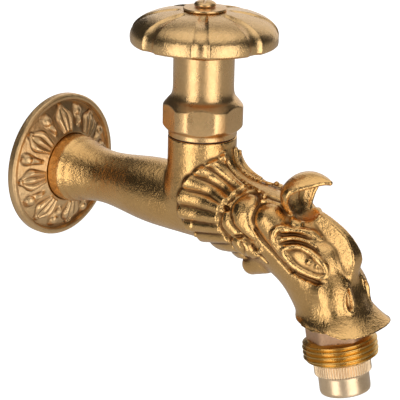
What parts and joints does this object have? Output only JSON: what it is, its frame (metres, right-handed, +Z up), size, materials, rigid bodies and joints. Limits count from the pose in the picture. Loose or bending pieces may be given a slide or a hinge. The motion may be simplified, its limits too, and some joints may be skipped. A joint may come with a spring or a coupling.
{
  "type": "hose bib",
  "caption": "Brass wall tap with a fluted domed handwheel, round wall rosette, scallop flank, animal-head spout, threaded hose nipple and knurled aerator.",
  "frame": {"origin": "centre of the inlet in the plane of the wall, which is the plane of the rosette's back", "axes": "+X out of the wall along the inlet, +Z up along the valve's axis, +Y sideways; the body is symmetric about Y = 0"},
  "size_m": [0.1642, 0.056, 0.1319],
  "materials": {
    "cast_brass": "cast, brushed over, aged in the recesses",
    "rosette_brass": "cast relief, dark in the recesses",
    "wheel_brass": "polished casting",
    "polished_brass": "turned and polished",
    "nipple_brass": "matt hexagon, bright thread",
    "satin_brass": "satin",
    "plain_brass": "as machined",
    "rubber": "moulded",
    "fibre": "pressed fibre",
    "graphite": "graphited packing",
    "white_plastic": "moulded",
    "screen_steel": "perforated sheet"
  },
  "bodies": {
    "tap_body": {"body_casting": "cast_brass", "wall_rosette": "rosette_brass", "bonnet": "polished_brass", "bonnet_gasket": "fibre", "packing_washer": "plain_brass", "packing_ring_lower": "graphite", "packing_ring_upper": "graphite", "gland_nut": "plain_brass", "hose_nipple": "nipple_brass", "nipple_gasket": "fibre", "aerator_gasket": "rubber"},
    "valve_disc": {"jumper": "plain_brass", "seat_washer": "rubber", "washer_nut": "plain_brass"},
    "spindle_and_wheel": {"spindle": "plain_brass", "handwheel": "wheel_brass", "wheel_washer": "polished_brass", "wheel_screw": "polished_brass"},
    "aerator_insert": {"aerator_core": "white_plastic", "aerator_screen_lower": "screen_steel", "aerator_screen_upper": "screen_steel"},
    "aerator_housing": {"aerator_shell": "satin_brass"}
  },
  "joints": [
    {"name": "disc_lift", "type": "slide", "parent": "tap_body", "child": "valve_disc", "axis": [0, 0, 1], "range_m": [0, 0.005]},
    {"name": "wheel_turn", "type": "hinge", "parent": "valve_disc", "child": "spindle_and_wheel", "pos_m": [0.071, 0, 0.065], "axis": [0, 0, 1], "range_deg": [0, 900]},
    {"name": "aerator_drop", "type": "slide", "parent": "tap_body", "child": "aerator_insert", "axis": [0.1985, 0, -0.9801], "range_m": [0, 0.003]},
    {"name": "aerator_turn", "type": "hinge", "parent": "aerator_insert", "child": "aerator_housing", "pos_m": [0.134, 0, -0.04], "axis": [0.1985, 0, -0.9801], "range_deg": [0, 1080]}
  ],
  "couplings": [
    {"joint": "disc_lift", "follows": "wheel_turn", "m_per_rad": 0.0003183},
    {"joint": "aerator_drop", "follows": "aerator_turn", "m_per_rad": 0.00015915}
  ]
}
